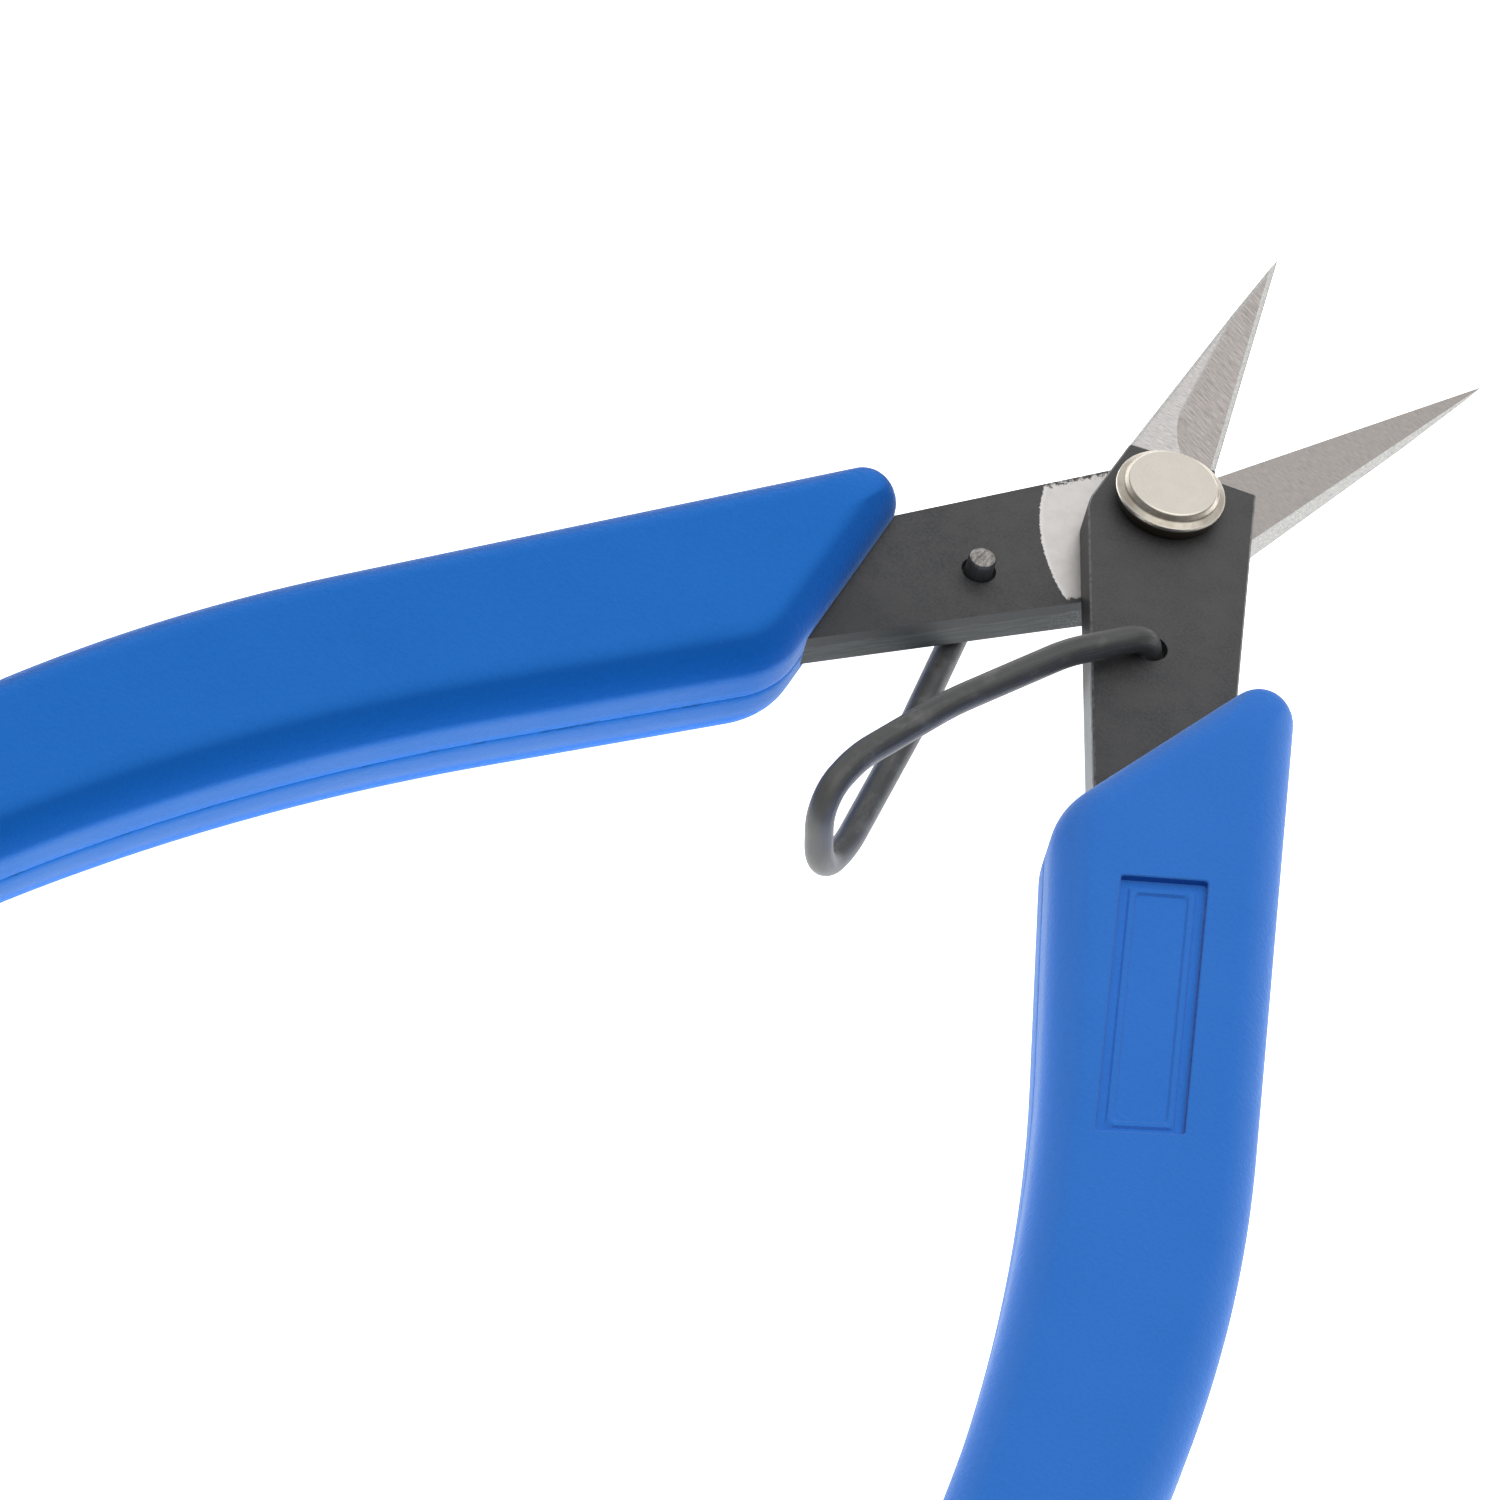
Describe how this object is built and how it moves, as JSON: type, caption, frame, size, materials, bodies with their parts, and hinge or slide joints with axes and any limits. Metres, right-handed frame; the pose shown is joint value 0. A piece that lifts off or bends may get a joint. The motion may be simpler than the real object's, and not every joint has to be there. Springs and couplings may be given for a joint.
{
  "type": "spring-return precision scissors",
  "caption": "Spring-return precision scissors: two long pointed blades on a rivet pivot, black steel tangs, bent wire return spring and moulded blue grips.",
  "frame": {"origin": "centre of the pivot rivet's flat front head", "axes": "+Z out of the rivet's head along the pivot axis, +Y towards the blade tips, +X towards the front half's handle"},
  "size_m": [0.1068, 0.1587, 0.0104],
  "materials": {
    "blade_steel": "black oxide tang, bare ground blade",
    "rivet_nickel": "satin nickel",
    "spring_steel": "dark satin wire",
    "grip_rubber": "matte blue"
  },
  "bodies": {
    "front_half": {"front_blade": "blade_steel", "pivot_rivet": "rivet_nickel", "pivot_washer": "rivet_nickel", "return_spring": "spring_steel", "front_grip": "grip_rubber"},
    "rear_half": {"rear_blade": "blade_steel", "rear_grip": "grip_rubber"}
  },
  "joints": [
    {"name": "pivot", "type": "hinge", "parent": "front_half", "child": "rear_half", "pos_m": [0, 0, -0.00425], "axis": [0, 0, 1], "range_deg": [0, 31.5], "stiffness_Nm_per_rad": 0.8, "springref_deg": -8.59, "deforming": ["return_spring"]}
  ]
}
